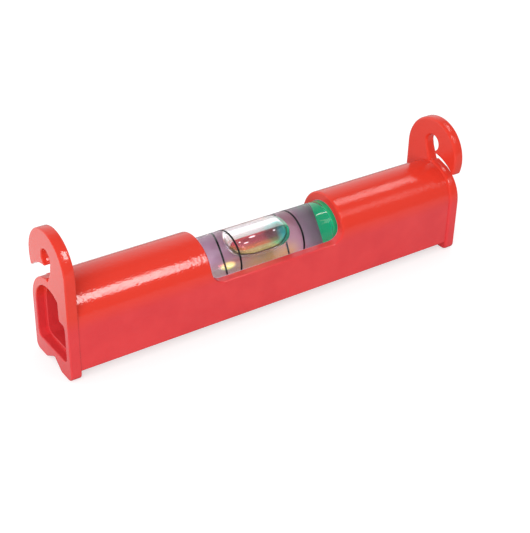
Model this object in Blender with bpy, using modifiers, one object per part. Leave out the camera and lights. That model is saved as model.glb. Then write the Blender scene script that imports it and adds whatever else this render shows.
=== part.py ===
"""Line level: a moulded housing with a string hook at each end and a clear vial in its window.

Units are metres and +Z is up.  The origin lies under the middle of the level, on the
surface that the feet stand on.  X runs along the level and -Y is its front.
"""
import math

import bmesh
import bpy
from mathutils import Euler, Matrix, Vector

# Housing body
LEVEL_LENGTH = 0.0800
BODY_WIDTH = 0.0124
SIDE_HEIGHT = 0.0083
BODY_EDGE_ROUND = 0.0004

# End flanges, one at each end, each with its feet; the far one stands out a little further
FLANGE_THICKNESS = 0.0019
FLANGE_RIM = 0.00015
FAR_FLANGE_GROWTH = 0.00025
FOOT_HEIGHT = 0.0015
FOOT_CORNER = 0.0012
GROOVE_HALF_WIDTH = 0.0027
GROOVE_DEPTH = 0.0017
GROOVE_SHIFT = 0.0004

# String hook that stands on each flange
EAR_RISE = 0.0085
HOOK_GAP = 0.0020
LOBE_TIP_REACH = 0.0008
EYE_RADIUS = 0.00155
EYE_RISE = 0.0017
THROAT_SHARE = 0.48

# Floor and end wall of the string slot; the seat is where the string rests
LIP_SINK = 0.00035
FAR_LIP_SINK = 0.0001
LIP_FLAT = 0.0026
LIP_END = 0.00035
LIP_END_RISE = 0.00018
SEAT_SHIFT = 0.00015
SEAT_DEPTH = 0.0003
WALL_SHARE = 0.9
WALL_LEAN = 0.0001
SLANT_RISE = 0.0025

# Hollow in each end of the housing
OPENING_HALF_WIDTH = 0.0050
OPENING_FLOOR = 0.00145
OPENING_CROWN = 0.0045
OPENING_CORNER = 0.0012
PAD_EDGE = 0.00305
PAD_FLOOR = 0.0002
PAD_CORNER = 0.0006
HOLLOW_STEP = 0.0005
NEAR_MOUTH_DEPTH = 0.0015
BULKHEAD_THICKNESS = 0.0050

# Window that shows the vial
WINDOW_LENGTH = 0.0270
WINDOW_CORNER = 0.0024
SILL_DROP = 0.0004

# Vial
VIAL_RADIUS = 0.0046
VIAL_SHIFT = -0.0004
VIAL_WALL = 0.0013
CHAMBER_LENGTH = 0.0266
CLOSED_END = 0.0018
PLUG_LENGTH = 0.0040
PLUG_CHAMFER = 0.0003
PLUG_RECESS_DEPTH = 0.0008
PLUG_RECESS_SHARE = 0.5
VIAL_CHAMFER = 0.0003

# Printed rings, which mark where the bubble stands when the string is level
RING_SPACING = 0.0130
RING_WIDTH = 0.0006
RING_DEPTH = 0.0002

# Bubble
BUBBLE_LENGTH = 0.0128
BUBBLE_WIDTH = 0.0061
BUBBLE_DEPTH = 0.0035
BUBBLE_END = 0.0030
BUBBLE_LIFT = 0.0003
BUBBLE_SHIFT = -0.0008

# Clearances
CLEARANCE = 0.0003
OVERRUN = 0.0020
MERGE = 0.00001

# Fineness of the round shapes
ARC_STEPS = 28
CORNER_STEPS = 5
TURN_STEPS = 64
BUBBLE_RINGS = 20
SMOOTH_ANGLE = 30

# Colours
MOULDING_RED = (0.73, 0.045, 0.035)
ACRYLIC_CLEAR = (0.96, 0.97, 0.97)
SPIRIT_TINT = (0.84, 0.90, 0.74)
AIR_CLEAR = (1.0, 1.0, 1.0)
PLUG_GREEN = (0.005, 0.36, 0.16)
INK_BLACK = (0.012, 0.012, 0.012)

# Gloss of each material, and how much light bends in the clear ones
MOULDING_ROUGHNESS = 0.34
ACRYLIC_ROUGHNESS = 0.03
SPIRIT_ROUGHNESS = 0.02
AIR_ROUGHNESS = 0.01
PLUG_ROUGHNESS = 0.30
INK_ROUGHNESS = 0.45
ACRYLIC_IOR = 1.49
SPIRIT_IOR = 1.36
AIR_IOR = 1.0
SOLID_IOR = 1.45

# Sizes that follow from the ones above
HALF_LENGTH = LEVEL_LENGTH / 2
BODY_HALF_WIDTH = BODY_WIDTH / 2
FLANGE_HALF_WIDTH = BODY_HALF_WIDTH + FLANGE_RIM
ARCH_HEIGHT = FOOT_HEIGHT + SIDE_HEIGHT
FAR_FLANGE_HALF_WIDTH = FLANGE_HALF_WIDTH + FAR_FLANGE_GROWTH
HOOK_RADIUS = FLANGE_HALF_WIDTH + HOOK_GAP
EAR_TOP = ARCH_HEIGHT + EAR_RISE + FLANGE_HALF_WIDTH
EYE_HEIGHT = ARCH_HEIGHT + HOOK_RADIUS + EYE_RISE
EYE_WALL = EYE_RADIUS * WALL_SHARE
LOBE_END = EYE_RADIUS * THROAT_SHARE
BULKHEAD_END = WINDOW_LENGTH / 2 + BULKHEAD_THICKNESS
CHAMBER_RADIUS = VIAL_RADIUS - VIAL_WALL
CHAMBER_LOW = VIAL_SHIFT - CHAMBER_LENGTH / 2
CHAMBER_HIGH = VIAL_SHIFT + CHAMBER_LENGTH / 2
VIAL_LOW = CHAMBER_LOW - CLOSED_END
VIAL_HIGH = CHAMBER_HIGH + PLUG_LENGTH
CONTENT_RADIUS = CHAMBER_RADIUS - CLEARANCE

# Turns that lay a flat outline across the level, or along it
ACROSS = Euler((math.pi / 2, 0, math.pi / 2)).to_matrix().to_4x4()
ALONG = Euler((math.pi / 2, 0, 0)).to_matrix().to_4x4()
TURNED_ALONG_X = Euler((0, math.pi / 2, 0)).to_matrix().to_4x4()
HALF_TURN = Matrix.Rotation(math.pi, 4, "Z")


def arc(centre, radius, start, end, steps, crown=None):
    """Points on a circle, or on an oval with a crown, from one angle to another in degrees."""
    height = radius if crown is None else crown
    points = []
    for step in range(steps + 1):
        angle = math.radians(start + (end - start) * step / steps)
        points.append((centre[0] + radius * math.cos(angle), centre[1] + height * math.sin(angle)))
    return points


def rounded(before, corner, after, steps):
    """Points of a curve that runs from one point to another inside the corner between them."""
    start, middle, end = Vector(before), Vector(corner), Vector(after)
    points = []
    for step in range(steps + 1):
        share = step / steps
        points.append(tuple(start.lerp(middle, share).lerp(middle.lerp(end, share), share)))
    return points


def angle_of(centre, point):
    """Angle, in degrees, at which a point is seen from a centre."""
    return math.degrees(math.atan2(point[1] - centre[1], point[0] - centre[0]))


def meeting_point(low_radius, high_radius, distance):
    """Where two circles cross whose centres stand above each other, from the lower centre."""
    height = (low_radius ** 2 - high_radius ** 2 + distance ** 2) / (2 * distance)
    return math.sqrt(low_radius ** 2 - height ** 2), height


def new_material(name, colour, roughness, transmission=0.0, ior=SOLID_IOR):
    material = bpy.data.materials.new(name)
    material.use_nodes = True
    shader = material.node_tree.nodes["Principled BSDF"]
    shader.inputs["Base Color"].default_value = (*colour, 1.0)
    shader.inputs["Roughness"].default_value = roughness
    shader.inputs["Metallic"].default_value = 0.0
    shader.inputs["Transmission Weight"].default_value = transmission
    shader.inputs["IOR"].default_value = ior
    return material


def new_collection(name):
    collection = bpy.data.collections.new(name)
    bpy.context.scene.collection.children.link(collection)
    return collection


def outline_solid(name, points, thickness, placing, collection):
    """A flat closed outline with a thickness, as a mesh that can be cut or joined."""
    curve = bpy.data.curves.new(name, "CURVE")
    curve.dimensions = "2D"
    curve.fill_mode = "BOTH"
    curve.extrude = thickness / 2
    spline = curve.splines.new("POLY")
    spline.points.add(len(points) - 1)
    for spline_point, (across, up) in zip(spline.points, points):
        spline_point.co = (across, up, 0, 1)
    spline.use_cyclic_u = True
    guide = bpy.data.objects.new(name + "_outline", curve)
    collection.objects.link(guide)
    bpy.context.view_layer.update()
    evaluated = guide.evaluated_get(bpy.context.evaluated_depsgraph_get())
    mesh = bpy.data.meshes.new_from_object(evaluated)
    bpy.data.objects.remove(guide)
    weld(mesh)
    solid = bpy.data.objects.new(name, mesh)
    solid.matrix_world = placing
    collection.objects.link(solid)
    return solid


def weld(mesh):
    shape = bmesh.new()
    shape.from_mesh(mesh)
    bmesh.ops.remove_doubles(shape, verts=shape.verts, dist=MERGE)
    bmesh.ops.recalc_face_normals(shape, faces=shape.faces)
    shape.to_mesh(mesh)
    shape.free()


def turned_solid(name, profile, closed, collection):
    """A profile of (radius, place along X) points, turned about the vial's axis."""
    mesh = bpy.data.meshes.new(name)
    vertices = [(radius, 0, along) for radius, along in profile]
    edges = [(first, first + 1) for first in range(len(profile) - 1)]
    if closed:
        edges.append((len(profile) - 1, 0))
    mesh.from_pydata(vertices, edges, [])
    solid = bpy.data.objects.new(name, mesh)
    collection.objects.link(solid)
    solid.matrix_world = Matrix.Translation((0, 0, ARCH_HEIGHT)) @ TURNED_ALONG_X
    screw = solid.modifiers.new("Turn", "SCREW")
    screw.axis = "Z"
    screw.steps = TURN_STEPS
    screw.render_steps = TURN_STEPS
    screw.use_merge_vertices = True
    screw.merge_threshold = MERGE
    return solid


def rod(name, radius, low, high, collection):
    """A round rod on the vial's axis between two places along X."""
    mesh = bpy.data.meshes.new(name)
    shape = bmesh.new()
    bmesh.ops.create_cone(shape, cap_ends=True, segments=TURN_STEPS, radius1=radius, radius2=radius,
                          depth=high - low)
    shape.to_mesh(mesh)
    shape.free()
    solid = bpy.data.objects.new(name, mesh)
    solid.matrix_world = Matrix.Translation(((low + high) / 2, 0, ARCH_HEIGHT)) @ TURNED_ALONG_X
    collection.objects.link(solid)
    return solid


def combine(target, tool, operation):
    modifier = target.modifiers.new(operation.title() + " " + tool.name, "BOOLEAN")
    modifier.operation = operation
    modifier.solver = "EXACT"
    modifier.object = tool
    tool.hide_render = True
    tool.display_type = "WIRE"


def finish(solid, material):
    solid.data.materials.clear()
    solid.data.materials.append(material)
    solid.data.shade_smooth()
    solid.data.set_sharp_from_angle(angle=math.radians(SMOOTH_ANGLE))


def body_outline():
    """Cross section of the body: flat sides under a half-round top."""
    corner = BODY_EDGE_ROUND
    left, right = -BODY_HALF_WIDTH + corner, BODY_HALF_WIDTH - corner
    points = arc((left, FOOT_HEIGHT + corner), corner, 180, 270, CORNER_STEPS)
    points += arc((right, FOOT_HEIGHT + corner), corner, 270, 360, CORNER_STEPS)
    points += arc((0, ARCH_HEIGHT), BODY_HALF_WIDTH, 0, 180, 2 * ARC_STEPS)
    return points


def flange_outline(half, lip_sink):
    """Outline of a flange, seen along X: feet, V groove, arch, string slot, eye and ear."""
    ear_rise = EAR_TOP - half - ARCH_HEIGHT
    arch, ear, eye = (0, ARCH_HEIGHT), (0, ARCH_HEIGHT + ear_rise), (0, EYE_HEIGHT)
    points = arc((-half + FOOT_CORNER, FOOT_CORNER), FOOT_CORNER, 180, 270, CORNER_STEPS)
    points.append((-GROOVE_HALF_WIDTH, 0))
    points.append((-GROOVE_SHIFT, GROOVE_DEPTH))
    points.append((GROOVE_HALF_WIDTH, 0))
    points += arc((half - FOOT_CORNER, FOOT_CORNER), FOOT_CORNER, 270, 360, CORNER_STEPS)

    # The arch runs up from the back, flatter than a circle, to the lip and the string's seat
    lip_crown = half - lip_sink
    lip_end_height = ARCH_HEIGHT + lip_crown + LIP_END_RISE
    seat_height = lip_end_height - SEAT_DEPTH
    flat_start = math.degrees(math.acos(LIP_FLAT / half))
    points += arc(arch, half, 0, flat_start, ARC_STEPS, lip_crown)
    points += [(LIP_END, lip_end_height), (-SEAT_SHIFT, seat_height)]

    # The slot's end wall leans back as it rises into the eye, whose edge turns over to the lobe
    eye_start = (-EYE_WALL, EYE_HEIGHT - math.sqrt(EYE_RADIUS ** 2 - EYE_WALL ** 2))
    eye_end = (LOBE_END, EYE_HEIGHT - math.sqrt(EYE_RADIUS ** 2 - LOBE_END ** 2))
    points.append((WALL_LEAN - EYE_WALL, seat_height + SLANT_RISE))
    points += arc(eye, EYE_RADIUS, angle_of(eye, eye_start), angle_of(eye, eye_end) - 360, ARC_STEPS)

    # The lobe's lower edge keeps the slot's width out to a blunt tip
    lobe_inner = (LOBE_END, ARCH_HEIGHT + math.sqrt(HOOK_RADIUS ** 2 - LOBE_END ** 2))
    tip_y, tip_z = meeting_point(HOOK_RADIUS, half, ear_rise)
    lobe_tip = (tip_y, ARCH_HEIGHT + tip_z)
    start = angle_of(arch, lobe_inner)
    end = angle_of(arch, lobe_tip) + math.degrees(LOBE_TIP_REACH / HOOK_RADIUS)
    lower_edge = arc(arch, HOOK_RADIUS, start, end, ARC_STEPS // 2)
    lobe_start = angle_of(ear, lobe_tip) + math.degrees(LOBE_TIP_REACH / half)
    ear_edge = arc(ear, half, lobe_start, 180, 2 * ARC_STEPS)
    points += lower_edge[:-1] + rounded(lower_edge[-1], lobe_tip, ear_edge[0], CORNER_STEPS)
    points += ear_edge[1:]
    return points


def opening_outline(inset, padded):
    """Outline of the hollow in an end; the near one has a solid pad in its upper front corner."""
    half = OPENING_HALF_WIDTH - inset
    floor = FOOT_HEIGHT + OPENING_FLOOR + inset
    crown = OPENING_CROWN - inset
    corner = OPENING_CORNER

    points = arc((-half + corner, floor + corner), corner, 180, 270, CORNER_STEPS)
    points += arc((half - corner, floor + corner), corner, 270, 360, CORNER_STEPS)
    last_angle = 180
    if padded:
        last_angle = math.degrees(math.acos(-(PAD_EDGE - inset) / half))
    points += arc((0, ARCH_HEIGHT), half, 0, last_angle, ARC_STEPS, crown)
    if padded:
        pad_floor = ARCH_HEIGHT + PAD_FLOOR - inset
        pad_centre = (-(PAD_EDGE - inset) - PAD_CORNER, pad_floor + PAD_CORNER)
        points += arc(pad_centre, PAD_CORNER, 0, -90, CORNER_STEPS)
        side_centre = (-half + PAD_CORNER, pad_floor - PAD_CORNER)
        points += arc(side_centre, PAD_CORNER, 90, 180, CORNER_STEPS)
    return points


def window_outline():
    """The window seen from the front: a straight sill with rounded lower corners."""
    half = WINDOW_LENGTH / 2
    sill = ARCH_HEIGHT - SILL_DROP
    corner = WINDOW_CORNER
    top = ARCH_HEIGHT + BODY_HALF_WIDTH + OVERRUN
    points = arc((-half + corner, sill + corner), corner, 180, 270, 2 * CORNER_STEPS)
    points += arc((half - corner, sill + corner), corner, 270, 360, 2 * CORNER_STEPS)
    points += [(half, top), (-half, top)]
    return points


def across_solid(name, points, low, high, collection):
    """An outline that lies across the level and runs from one place along X to another."""
    placing = Matrix.Translation(((low + high) / 2, 0, 0)) @ ACROSS
    return outline_solid(name, points, high - low, placing, collection)


def build_housing(parts, cutters, material):
    inner_face = HALF_LENGTH - FLANGE_THICKNESS
    housing = across_solid("housing", body_outline(), -inner_face, inner_face, parts)
    near_outline = flange_outline(FLANGE_HALF_WIDTH, LIP_SINK)
    far_outline = flange_outline(FAR_FLANGE_HALF_WIDTH, FAR_LIP_SINK)
    near = across_solid("near_flange", near_outline, -HALF_LENGTH, -inner_face, cutters)
    far = across_solid("far_flange", far_outline, -HALF_LENGTH, -inner_face, cutters)
    far.matrix_world = HALF_TURN @ far.matrix_world
    combine(housing, near, "UNION")
    combine(housing, far, "UNION")

    window = outline_solid("window", window_outline(), BODY_WIDTH + 2 * OVERRUN, ALONG, cutters)
    combine(housing, window, "DIFFERENCE")

    # The vial goes in from the far end and stops in a blind socket behind the window
    bore_radius = VIAL_RADIUS + CLEARANCE
    bore = rod("vial_bore", bore_radius, VIAL_LOW - CLEARANCE, HALF_LENGTH + OVERRUN, cutters)
    combine(housing, bore, "DIFFERENCE")

    near_mouth = across_solid("near_mouth", opening_outline(0, True),
                              -HALF_LENGTH - OVERRUN, -HALF_LENGTH + NEAR_MOUTH_DEPTH, cutters)
    near_hollow = across_solid("near_hollow", opening_outline(HOLLOW_STEP, True),
                               -HALF_LENGTH - OVERRUN / 2, -BULKHEAD_END, cutters)
    far_hollow = across_solid("far_hollow", opening_outline(0, False),
                              BULKHEAD_END, HALF_LENGTH + OVERRUN / 2, cutters)
    for hollow in (near_mouth, near_hollow, far_hollow):
        combine(housing, hollow, "DIFFERENCE")
    finish(housing, material)


def ring_places():
    return {"ring_near": VIAL_SHIFT - RING_SPACING / 2, "ring_far": VIAL_SHIFT + RING_SPACING / 2}


def build_barrel(parts, material):
    """A clear tube, closed at its near end, with a shallow groove under each printed ring."""
    groove_radius = VIAL_RADIUS - RING_DEPTH - CLEARANCE
    groove_half = RING_WIDTH / 2 + CLEARANCE
    chamfer = VIAL_CHAMFER
    profile = [(0, CHAMBER_LOW), (CHAMBER_RADIUS, CHAMBER_LOW), (CHAMBER_RADIUS, VIAL_HIGH)]
    profile += [(VIAL_RADIUS - chamfer, VIAL_HIGH), (VIAL_RADIUS, VIAL_HIGH - chamfer)]
    for place in sorted(ring_places().values(), reverse=True):
        profile += [(VIAL_RADIUS, place + groove_half), (groove_radius, place + groove_half)]
        profile += [(groove_radius, place - groove_half), (VIAL_RADIUS, place - groove_half)]
    profile += [(VIAL_RADIUS, VIAL_LOW + chamfer), (VIAL_RADIUS - chamfer, VIAL_LOW), (0, VIAL_LOW)]
    barrel = turned_solid("vial_barrel", profile, False, parts)
    finish(barrel, material)


def build_rings(parts, material):
    """Each ring lies in its groove with its outer face flush with the barrel."""
    low, high = VIAL_RADIUS - RING_DEPTH, VIAL_RADIUS
    for name, place in ring_places().items():
        top, bottom = place + RING_WIDTH / 2, place - RING_WIDTH / 2
        profile = [(low, top), (high, top), (high, bottom), (low, bottom)]
        ring = turned_solid(name, profile, True, parts)
        finish(ring, material)


def build_plug(parts, material):
    """The plug closes the far end of the chamber; its outer face has a shallow round recess."""
    radius = CONTENT_RADIUS
    low, high = CHAMBER_HIGH, VIAL_HIGH
    recess = radius * PLUG_RECESS_SHARE
    profile = [(0, high - PLUG_RECESS_DEPTH), (recess, high - PLUG_RECESS_DEPTH), (recess, high)]
    profile += [(radius - PLUG_CHAMFER, high), (radius, high - PLUG_CHAMFER)]
    profile += [(radius, low + PLUG_CHAMFER), (radius - PLUG_CHAMFER, low), (0, low)]
    plug = turned_solid("vial_plug", profile, False, parts)
    finish(plug, material)


def bubble_solid(name, growth, collection):
    """A round-ended float shape under the top of the chamber, grown all round by a clearance."""
    mesh = bpy.data.meshes.new(name)
    shape = bmesh.new()
    bmesh.ops.create_uvsphere(shape, u_segments=2 * BUBBLE_RINGS, v_segments=BUBBLE_RINGS, radius=1)
    bmesh.ops.rotate(shape, verts=shape.verts, matrix=Matrix.Rotation(math.pi / 2, 3, "Y"))
    straight = BUBBLE_LENGTH / 2 - BUBBLE_END
    for vertex in shape.verts:
        side = math.copysign(straight, vertex.co.x)
        vertex.co.x = side + vertex.co.x * (BUBBLE_END + growth)
        vertex.co.y *= BUBBLE_WIDTH / 2 + growth
        vertex.co.z *= BUBBLE_DEPTH / 2 + growth
    shape.to_mesh(mesh)
    shape.free()
    solid = bpy.data.objects.new(name, mesh)
    height = ARCH_HEIGHT + CONTENT_RADIUS - BUBBLE_DEPTH / 2 + BUBBLE_LIFT
    solid.location = (VIAL_SHIFT + BUBBLE_SHIFT, 0, height)
    collection.objects.link(solid)
    return solid


def build_bubble(parts, cutters, material):
    bubble = bubble_solid("bubble", 0, parts)
    chamber = rod("bubble_ceiling", CONTENT_RADIUS, CHAMBER_LOW, CHAMBER_HIGH, cutters)
    combine(bubble, chamber, "INTERSECT")
    finish(bubble, material)


def build_fluid(parts, cutters, material):
    """Spirit that fills the chamber round the bubble."""
    low, high = CHAMBER_LOW + CLEARANCE, CHAMBER_HIGH - CLEARANCE
    fluid = rod("vial_fluid", CONTENT_RADIUS, low, high, parts)
    hollow = bubble_solid("bubble_hollow", CLEARANCE, cutters)
    combine(fluid, hollow, "DIFFERENCE")
    finish(fluid, material)


def main():
    for old in list(bpy.data.objects):
        bpy.data.objects.remove(old, do_unlink=True)
    parts = new_collection("line_level")
    cutters = new_collection("cutters")
    red = new_material("red_moulding", MOULDING_RED, MOULDING_ROUGHNESS)
    clear = new_material("clear_acrylic", ACRYLIC_CLEAR, ACRYLIC_ROUGHNESS, 1.0, ACRYLIC_IOR)
    spirit = new_material("spirit", SPIRIT_TINT, SPIRIT_ROUGHNESS, 1.0, SPIRIT_IOR)
    air = new_material("air", AIR_CLEAR, AIR_ROUGHNESS, 1.0, AIR_IOR)
    green = new_material("green_plug", PLUG_GREEN, PLUG_ROUGHNESS)
    black = new_material("black_ink", INK_BLACK, INK_ROUGHNESS)
    build_housing(parts, cutters, red)
    build_barrel(parts, clear)
    build_rings(parts, black)
    build_plug(parts, green)
    build_bubble(parts, cutters, air)
    build_fluid(parts, cutters, spirit)


main()
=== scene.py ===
"""Looks of the line level: its red moulding, its clear vial and the plain studio that it stands in.

Lengths are in metres in the row frame: X runs along the level, -Y is its front and +Z is up.
The sizes that the model's own boxes give are read from the frame. The rest are named here.
"""
import math

import bmesh
import bpy
from mathutils import Matrix, Vector


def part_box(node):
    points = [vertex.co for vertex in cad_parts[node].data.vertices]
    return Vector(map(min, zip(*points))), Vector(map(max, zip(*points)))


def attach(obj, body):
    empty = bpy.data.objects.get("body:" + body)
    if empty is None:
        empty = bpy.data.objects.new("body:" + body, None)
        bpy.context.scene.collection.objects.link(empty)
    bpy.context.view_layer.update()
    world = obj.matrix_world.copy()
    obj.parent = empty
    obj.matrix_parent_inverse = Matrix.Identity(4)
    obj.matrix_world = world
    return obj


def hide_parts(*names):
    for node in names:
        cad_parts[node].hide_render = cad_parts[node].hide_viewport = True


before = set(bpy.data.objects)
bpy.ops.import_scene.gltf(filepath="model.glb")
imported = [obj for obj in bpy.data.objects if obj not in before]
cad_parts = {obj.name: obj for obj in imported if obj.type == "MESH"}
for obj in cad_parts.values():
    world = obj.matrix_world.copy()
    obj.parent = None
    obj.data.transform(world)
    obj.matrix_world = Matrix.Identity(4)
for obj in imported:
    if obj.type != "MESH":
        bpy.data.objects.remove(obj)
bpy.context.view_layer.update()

MM = 0.001

# Camera, found from the level's own corners in the photograph
CAMERA_PLACE = (-103.38 * MM, -148.81 * MM, 115.07 * MM)
CAMERA_HEADING = 35.08
CAMERA_TILT = 31.16
CAMERA_ROLL = 1.41
CAMERA_LENS = 81.98
SENSOR_WIDTH = 36.0
CLIP_START = 10 * MM

# Housing
FLANGE_THICKNESS = 1.9 * MM
FLANGE_RIM = 0.15 * MM
FAR_FLANGE_GROWTH = 0.25 * MM
FOOT_HEIGHT = 1.5 * MM
FOOT_CORNER = 1.2 * MM
BODY_EDGE_ROUND = 0.4 * MM
GROOVE_HALF_WIDTH = 2.7 * MM
GROOVE_DEPTH = 1.7 * MM
GROOVE_SHIFT = 0.4 * MM
EAR_RISE = 8.5 * MM
HOOK_GAP = 2.0 * MM
EYE_RADIUS = 1.55 * MM
EYE_RISE = 1.7 * MM
EYE_WALL = 1.395 * MM
LOBE_END = 0.744 * MM
LIP_SINK = 0.35 * MM
FAR_LIP_SINK = 0.1 * MM
LIP_FLAT = 2.6 * MM
LIP_END = 0.35 * MM
LIP_END_RISE = 0.18 * MM
SEAT_SHIFT = 0.15 * MM
SEAT_DEPTH = 0.3 * MM
WALL_LEAN = 0.1 * MM
SLANT_RISE = 2.5 * MM
OPENING_HALF_WIDTH = 5.0 * MM
OPENING_FLOOR = 1.45 * MM
OPENING_CROWN = 4.5 * MM
OPENING_CORNER = 1.2 * MM
PAD_EDGE = 3.05 * MM
PAD_FLOOR = 0.2 * MM
PAD_CORNER = 0.6 * MM
HOLLOW_STEP = 0.5 * MM
NEAR_MOUTH_DEPTH = 1.5 * MM
BULKHEAD_THICKNESS = 5.0 * MM
WINDOW_LENGTH = 27.0 * MM
WINDOW_CORNER = 2.4 * MM
SILL_DROP = 0.4 * MM
BORE_GAP = 0.3 * MM
SEAT_GAP = 0.04 * MM

# Soft edges that moulding gives
CORNER_REACH = 0.45 * MM
OUTER_ROUND = 0.22 * MM
INNER_ROUND = 0.2 * MM
FAR_INNER_ROUND = 0.45 * MM
STEP_ROUND = 0.15 * MM
MOUTH_ROUND = 0.22 * MM
WINDOW_ROUND = 0.32 * MM
WINDOW_TOUCH = 0.02 * MM
WINDOW_MERGE = 0.002 * MM
ROUND_STEPS = 4
ROUND_PROFILE = 0.5
SHARP_TURN = 32.0
SMOOTH_TURN = 35.0
CORNER_SHARE = 0.45
ROOM_SHARE = 0.8
ROOM_REACH = 3
MERGE = 0.01 * MM
BODY_OVERLAP = 0.3 * MM

# Vial
VIAL_WALL = 1.3 * MM
CLOSED_END = 1.8 * MM
VIAL_CHAMFER = 0.3 * MM
PLUG_CHAMFER = 0.3 * MM
PLUG_RECESS_DEPTH = 0.8 * MM
PLUG_RECESS_SHARE = 0.5
PLUG_FIT = 0.02 * MM
PLUG_PROUD = 0.05 * MM

# Printed rings
RING_WIDTH = 0.36 * MM
RING_THICKNESS = 0.03 * MM
RING_PROUD = 0.02 * MM
RING_WOBBLE = 0.03 * MM
RING_SEED = 7
RING_STEPS = 160
RING_MERGE = 0.001 * MM
SEED_STEP = 3.7
WOBBLE_SCALE = 900.0
WOBBLE_DETAIL = 1.0
NOISE_MIDDLE = 0.5

# Bubble: its axis lies above the vial's, and its floor is flatter than its ends
BUBBLE_END = 5.2 * MM
BUBBLE_AXIS_RISE = 1.55 * MM
BUBBLE_HALF_WIDTH = 3.05 * MM
BUBBLE_FLOOR_DROP = 1.75 * MM
BUBBLE_CROWN_RISE = 2.4 * MM
BUBBLE_FILM = 0.05 * MM
BUBBLE_BLEND = 0.1 * MM
BUBBLE_SECTION_POWER = 2.7
BUBBLE_END_POWER = 2.2
BUBBLE_RINGS = 72
BUBBLE_STEPS = 96

OVERRUN = 2.0 * MM
ARC_STEPS = 40
CORNER_STEPS = 6
TURN_STEPS = 96

LEVEL_LOW, LEVEL_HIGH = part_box("housing")
VIAL_LOW, VIAL_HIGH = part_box("vial_barrel")
PLUG_LOW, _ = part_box("vial_plug")
HALF_LENGTH = (LEVEL_HIGH[0] - LEVEL_LOW[0]) / 2
FAR_FLANGE_HALF_WIDTH = (LEVEL_HIGH[1] - LEVEL_LOW[1]) / 2
FLANGE_HALF_WIDTH = FAR_FLANGE_HALF_WIDTH - FAR_FLANGE_GROWTH
BODY_HALF_WIDTH = FLANGE_HALF_WIDTH - FLANGE_RIM
ARCH_HEIGHT = (VIAL_LOW[2] + VIAL_HIGH[2]) / 2
VIAL_RADIUS = (VIAL_HIGH[2] - VIAL_LOW[2]) / 2
CHAMBER_RADIUS = VIAL_RADIUS - VIAL_WALL
HOOK_RADIUS = FLANGE_HALF_WIDTH + HOOK_GAP
EAR_TOP = ARCH_HEIGHT + EAR_RISE + FLANGE_HALF_WIDTH
EYE_HEIGHT = ARCH_HEIGHT + HOOK_RADIUS + EYE_RISE
BULKHEAD_END = WINDOW_LENGTH / 2 + BULKHEAD_THICKNESS

# Grain that the finishes share
GRAIN_DETAIL = 2.0
GRAIN_ROUGHNESS = 0.55
CLOUD_ROUGHNESS = 0.5
CLOUD_SPAN = (0.3, 0.7)

# Finishes: two colours and two roughnesses that each surface drifts between, and the scales of its
# grain, pits and drift
RED_COLOURS = ((0.75, 0.043, 0.049), (0.81, 0.052, 0.056))
# painted light: a warmer red on the moulding's upper surfaces, from just below the arch up, for warm light
# falling from above
RED_PAINTED_TOP_LIGHT = (0.79, 0.046, 0.026)
TOP_LIGHT_START = -1.0 * MM
TOP_LIGHT_END = 2.5 * MM
RED_ROUGHNESS = (0.10, 0.14)
RED_SCALES = (2800.0, 2400.0, 160.0)
RED_BUMP = 0.020 * MM
MOULDING_IOR = 1.5
ACRYLIC_COLOURS = ((0.97, 0.97, 1.0), (1.0, 1.0, 1.0))
ACRYLIC_ROUGHNESS = (0.0, 0.02)
CLEAR_SCALES = (260.0, 120.0, 220.0)
ACRYLIC_BUMP = 0.004 * MM
ACRYLIC_IOR = 1.49
SPIRIT_COLOURS = ((0.95, 0.91, 1.0), (0.98, 0.94, 1.0))
SPIRIT_ROUGHNESS = (0.0, 0.03)
SPIRIT_BUMP = 0.002 * MM
SPIRIT_CLARITY = 0.97
SPIRIT_IOR = 1.36
AIR_COLOURS = ((0.97, 0.99, 1.0), (1.0, 1.0, 1.0))
AIR_CLARITY = 0.85
AIR_ROUGHNESS = (0.0, 0.01)
GREEN_COLOURS = ((0.001, 0.80, 0.32), (0.002, 0.88, 0.38))
GREEN_ROUGHNESS = (0.25, 0.35)
GREEN_BUMP = 0.01 * MM
GREEN_SPECULAR = 0.0
# painted glow: the plug gives off green light of its own, though it is no lamp
PLUG_PAINTED_GLOW = (0.0, 0.85, 0.33)
PLUG_PAINTED_GLOW_STRENGTH = 0.12
INK_COLOURS = ((0.008, 0.008, 0.010), (0.014, 0.013, 0.014))
INK_ROUGHNESS = (0.45, 0.6)
INK_BUMP = 0.004 * MM
INK_SPECULAR = 0.15

# Bore, as the clear vial shows it: painted reflections and painted light along X and low down, the share of
# that painted tint that glows, and a painted caustic, a bright spot of focused light, at the back
BORE_PAINTED_NEAR = (1.0, 0.60, 0.79)
BORE_PAINTED_MIDDLE = (0.70, 0.31, 0.38)
BORE_PAINTED_FAR = (0.52, 0.27, 0.38)
BORE_PAINTED_LOW = (1.0, 0.47, 0.13)
BORE_PAINTED_LOW_NEAR = (0.60, 0.42, 0.36)
BORE_MIDDLE_SPAN = (-7.0 * MM, 0)
BORE_FAR_SPAN = (8.5 * MM, 10.5 * MM)
BORE_LOW_SPAN = (-2.7 * MM, -3.5 * MM)
BORE_LOW_REACH = (9.5 * MM, 6.0 * MM)
# painted caustic: a bright yellow spot of focused light painted on the back of the bore and made to glow
SPOT_PLACE = -6.35 * MM
SPOT_DROP = 3.25 * MM
SPOT_HALF_LENGTH = 1.85 * MM
SPOT_HALF_HEIGHT = 0.25 * MM
SPOT_CORE = 0.55
PAINTED_CAUSTIC_COLOUR = (0.76, 0.92, 0.10)
PAINTED_CAUSTIC_GLOW = 0.8
BORE_PAINTED_GLOW = 0.10
BORE_TOUCH = 0.06 * MM
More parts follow.
